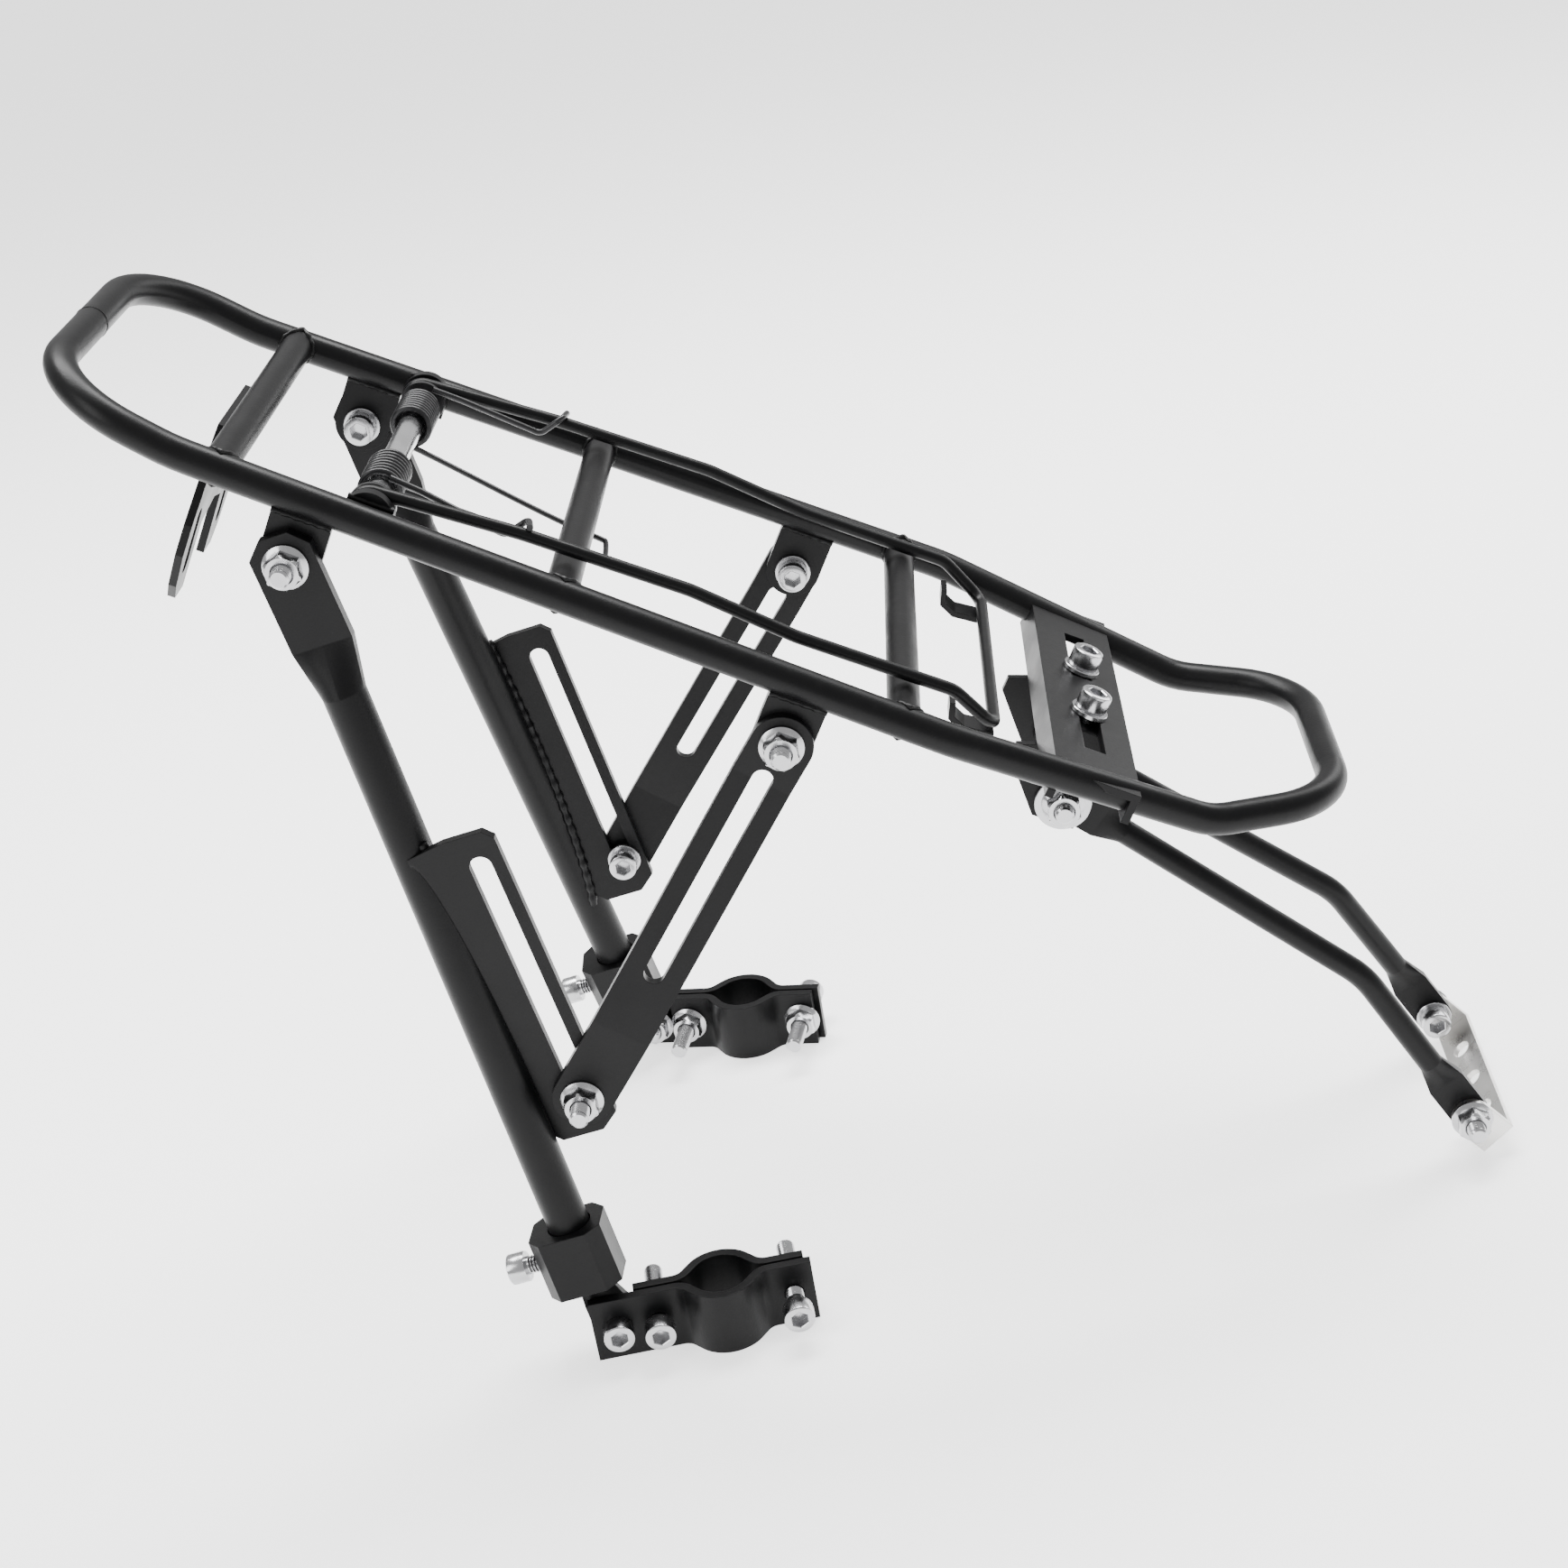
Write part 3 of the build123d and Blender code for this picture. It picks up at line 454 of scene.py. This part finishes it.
# Double torsion spring: two coils of different length on the sleeve, joined by the bent leg
# that presses up under the middle cross tube.
AXLE_X, AXLE_Z = 17.0, 18.65
COIL_R, WIRE_R = 5.9, 0.9
COILS = ((22.0, 43.5, 9.25), (-15.0, -37.0, 8.25))
MIDDLE_X, UNDER_Z = 76.4, 11.65
TURN_STEPS = 28


def coil(start, end, turns):
    """Points of one coil, from its inner end at the bottom, outwards."""
    steps = round(turns * TURN_STEPS)
    inset = WIRE_R if end > start else -WIRE_R
    run = (end - inset) - (start + inset)
    points = []
    for step in range(steps + 1):
        angle = -math.pi / 2 + 2 * math.pi * step / TURN_STEPS
        y = start + inset + run * step / steps
        forward, up = COIL_R * math.cos(angle), COIL_R * math.sin(angle)
        points.append(Vector((AXLE_X + forward, y, AXLE_Z + up)))
    return points


spring = bmesh.new()
bottom = AXLE_Z - COIL_R
for start, end, turns in COILS:
    add_wire(spring, coil(start, end, turns), WIRE_R)
middle_leg = [
    Vector((AXLE_X, COILS[0][0] + WIRE_R, bottom)), Vector((AXLE_X + 8, COILS[0][0] - 1, bottom)),
    Vector((MIDDLE_X - 6, 7, UNDER_Z)), Vector((MIDDLE_X + 9, 5, UNDER_Z)),
    Vector((MIDDLE_X + 10, 4, UNDER_Z)), Vector((MIDDLE_X + 11, -11, UNDER_Z)),
    Vector((MIDDLE_X + 10, -13, UNDER_Z)), Vector((MIDDLE_X - 4, -13, UNDER_Z)),
    Vector((AXLE_X + 8, COILS[1][0] + 1, bottom)), Vector((AXLE_X, COILS[1][0] - WIRE_R, bottom)),
]
add_wire(spring, rounded(middle_leg), WIRE_R)
piece("torsion_spring_wound", spring, SPRING, "spring_steel", "rack", "torsion_spring")


# Weld beads: rippled fillets where the cross tubes and lugs meet the loop, along the leg plates,
# and the butt seam in the middle of the rear bar.
TUBE_R, DECK_Z = 5.0, 18.65
RAIL = ((-40.7, 59.5), (198.8, 69.9))
CROSS_X = (-27.0, MIDDLE_X, 182.8)
REAR_BAR = (-81.6, 24.3)
LUG_T, LUG_HALF_WIDTH = 4.0, 9.0
EAR_SEAM_X, EAR_SEAM_Y, EAR_SEAM_Z = (10.0, 24.0), 57.0, 22.9
LEG_R, PLATE_FROM, PLATE_SEAM_STEPS = 6.75, 91.5, 111
RIPPLE, UNEVEN = 0.16, 0.06
random.seed(7)


def rail_y(x):
    (x0, y0), (x1, y1) = RAIL
    return y0 + (x - x0) / (x1 - x0) * (y1 - y0)


def ripple(points, radius):
    """Bead radii that rise and fall as the welder moves on."""
    return [
        radius * (1 + RIPPLE * math.sin(index * 1.3) + random.uniform(-UNEVEN, UNEVEN))
        for index, _ in enumerate(points)
    ]


def line(first, last, steps):
    return [first.lerp(last, step / steps) for step in range(steps + 1)]


def saddle(x, sign):
    """Seam between a cross tube and a rail of the same radius."""
    reach = TUBE_R + 0.15
    points = []
    for step in range(61):
        angle = 2 * math.pi * step / 60
        forward, up = reach * math.cos(angle), reach * math.sin(angle)
        points.append(Vector((x + forward, sign * (rail_y(x) - abs(forward)), DECK_Z + up)))
    return points


beads = bmesh.new()
for sign in SIDES.values():
    for x in CROSS_X:
        seam = saddle(x, sign)
        add_wire(beads, seam, ripple(seam, 0.85))
    for x, inner in ((0.0, A_IN), (B_X, B_IN)):
        for y in (inner - 0.3, inner + LUG_T + 0.3):
            drop = math.sqrt(TUBE_R ** 2 - (y - rail_y(x)) ** 2)
            z = DECK_Z - drop - 0.2
            ends = (Vector((x + run, sign * y, z)) for run in (-LUG_HALF_WIDTH, LUG_HALF_WIDTH))
            seam = line(*ends, 26)
            add_wire(beads, seam, ripple(seam, 0.9))
    ends = (Vector((x, sign * EAR_SEAM_Y, EAR_SEAM_Z)) for x in EAR_SEAM_X)
    seam = line(*ends, 20)
    add_wire(beads, seam, ripple(seam, 0.9))
around = TUBE_R + 0.05
seam = [
    Vector((REAR_BAR[0] + around * math.cos(angle), 0, REAR_BAR[1] + around * math.sin(angle)))
    for angle in (2 * math.pi * step / 48 for step in range(49))
]
add_wire(beads, seam, ripple(seam, 0.12))
piece("weld_beads_deck", beads, COAT, "black_coat", "rack")

for side, sign in SIDES.items():
    beads = bmesh.new()
    seam = []
    for step in range(PLATE_SEAM_STEPS):
        s = PLATE_FROM + step
        gap = PLATE_IN - leg_axis_y(s)
        t = math.sqrt(LEG_R ** 2 - gap ** 2) + 0.2
        seam.append(leg_point(s, t, PLATE_IN - 0.3) * Vector((1, sign, 1)))
    add_wire(beads, seam, ripple(seam, 1.5))
    piece(f"weld_bead_leg_plate_{side}", beads, COAT, "black_coat", f"leg_assembly_{side}")


# Floor: a wide pale sheet at the lowest point, lit a little from within, to look like studio
# paper.  It isn't part of the object.
FLOOR_HALF = 6.0
floor_mesh = bmesh.new()
bmesh.ops.create_grid(floor_mesh, x_segments=1, y_segments=1, size=FLOOR_HALF)
floor_data = bpy.data.meshes.new("floor")
floor_mesh.to_mesh(floor_data)
floor_mesh.free()
floor = bpy.data.objects.new("floor", floor_data)
bpy.context.scene.collection.objects.link(floor)
paper = bpy.data.materials.new("pale_paper")
paper.use_nodes = True
sheet = paper.node_tree.nodes["Principled BSDF"].inputs
sheet["Base Color"].default_value = (0.9, 0.9, 0.9, 1)
sheet["Roughness"].default_value = 0.9
sheet["Emission Color"].default_value = (1, 1, 1, 1)
sheet["Emission Strength"].default_value = 1.5
floor_data.materials.append(paper)

# Light: a white surround with large soft boxes overhead, to the rear right and to the front left
# of the rack.
AIM_POINT = Vector((0, 0, 0.15))
world = bpy.data.worlds.new("surround")
bpy.context.scene.world = world
world.use_nodes = True
world.node_tree.nodes["Background"].inputs["Color"].default_value = (1, 1, 1, 1)
world.node_tree.nodes["Background"].inputs["Strength"].default_value = 0.7


def soft_box(name, position, size, power):
    data = bpy.data.lights.new(name, "AREA")
    data.shape = "RECTANGLE"
    data.size, data.size_y = size
    data.energy = power
    light = bpy.data.objects.new(name, data)
    light.location = position
    towards = AIM_POINT - Vector(position)
    light.rotation_euler = towards.to_track_quat("-Z", "Y").to_euler()
    bpy.context.scene.collection.objects.link(light)


soft_box("overhead", (-0.1, 0.5, 1.3), (1.4, 0.5), 45)
soft_box("front_left", (-1.0, -0.9, 0.9), (0.6, 0.9), 10)
soft_box("back_right", (0.9, 0.9, 0.8), (0.5, 0.9), 8)

# Camera: from the right-hand side of the bicycle, above the deck and rolled a little.
# Its place and its axes (right, down, ahead) are stated in the deck frame.
CAMERA_AT = (55.873, -749.691, 312.016)
CAMERA_AXES = (
    (0.93695, 0.02703, 0.34841), (0.32319, -0.44625, -0.83451), (0.13292, 0.8945, -0.42685),
)
camera_data = bpy.data.cameras.new("camera")
camera_data.sensor_width = 36.0
camera_data.lens = 59.06
camera = bpy.data.objects.new("camera", camera_data)
bpy.context.scene.collection.objects.link(camera)
turn = DECK.to_3x3().normalized()
right, down, ahead = (turn @ Vector(axis) for axis in CAMERA_AXES)
axes = Matrix((right, -down, -ahead)).transposed().to_4x4()
camera.matrix_world = Matrix.Translation(DECK @ Vector(CAMERA_AT)) @ axes
bpy.context.scene.camera = camera
